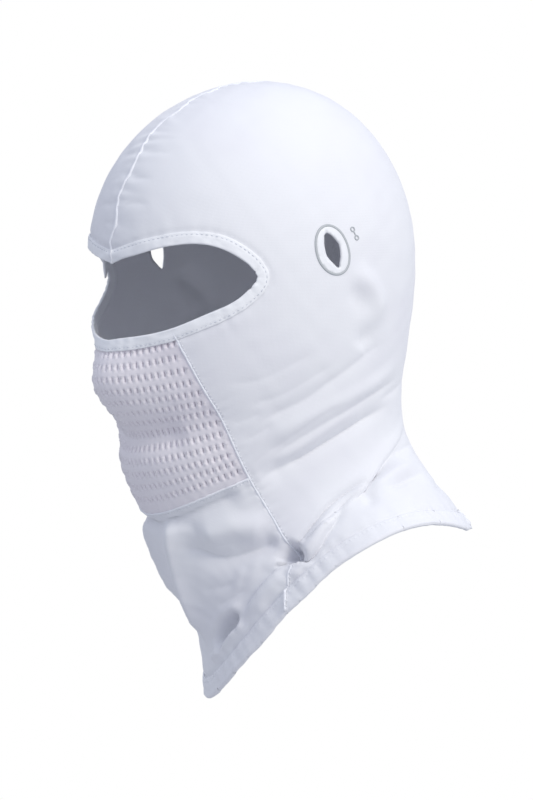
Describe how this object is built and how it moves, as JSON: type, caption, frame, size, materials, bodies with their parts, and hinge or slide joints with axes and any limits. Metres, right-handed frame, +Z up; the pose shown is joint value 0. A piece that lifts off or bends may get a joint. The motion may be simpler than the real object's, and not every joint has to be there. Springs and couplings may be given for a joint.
{
  "type": "balaclava",
  "caption": "Thin white stretch ski hood in worn shape, with a wide bound eye opening, perforated air mesh over nose and mouth, a front neck panel, a banded hem and slotted temple ports.",
  "frame": {"origin": "centre of the wearer's head, level with the temple ports and on the head's centre plane", "axes": "+Z up through the crown, -Y out of the face, +X to the wearer's left; the neck and hem turn up to 33 degrees to the wearer's right under the head"},
  "size_m": [0.1795, 0.2326, 0.346],
  "materials": {
    "hood_jersey": "thin white knitted stretch jersey, matt with a faint sheen",
    "air_mesh": "white perforated stretch mesh that the darker inside shows through",
    "binding_tape": "white knitted stretch strip folded over the cut edge",
    "hem_jersey": "white knitted jersey folded double",
    "seam_tape": "white flat seam of lapped jersey under cover stitches",
    "sewing_thread": "white textured polyester thread with a slight gloss",
    "port_film": "smooth bright white bonded film",
    "port_print": "light grey transfer print",
    "label_tape": "plain white woven label tape"
  },
  "bodies": {
    "root": {"left_side_panel": "hood_jersey", "right_side_panel": "hood_jersey", "front_neck_panel": "hood_jersey", "mesh_face_panel": "air_mesh", "eye_binding": "binding_tape", "eye_binding_join": "binding_tape", "hem_band": "hem_jersey", "hem_join": "hem_jersey", "centre_seam": "seam_tape", "mesh_bottom_seam": "seam_tape", "front_seam_left": "seam_tape", "front_seam_right": "seam_tape", "centre_seam_stitching": "sewing_thread", "mesh_bottom_seam_stitching": "sewing_thread", "front_seam_stitching_left": "sewing_thread", "front_seam_stitching_right": "sewing_thread", "eye_binding_stitching": "sewing_thread", "hem_stitching": "sewing_thread", "port_patch_left": "port_film", "port_patch_right": "port_film", "port_ring_left": "port_print", "port_ring_right": "port_print", "port_symbol_left": "port_print", "port_symbol_right": "port_print", "care_label": "label_tape"}
  },
  "joints": []
}
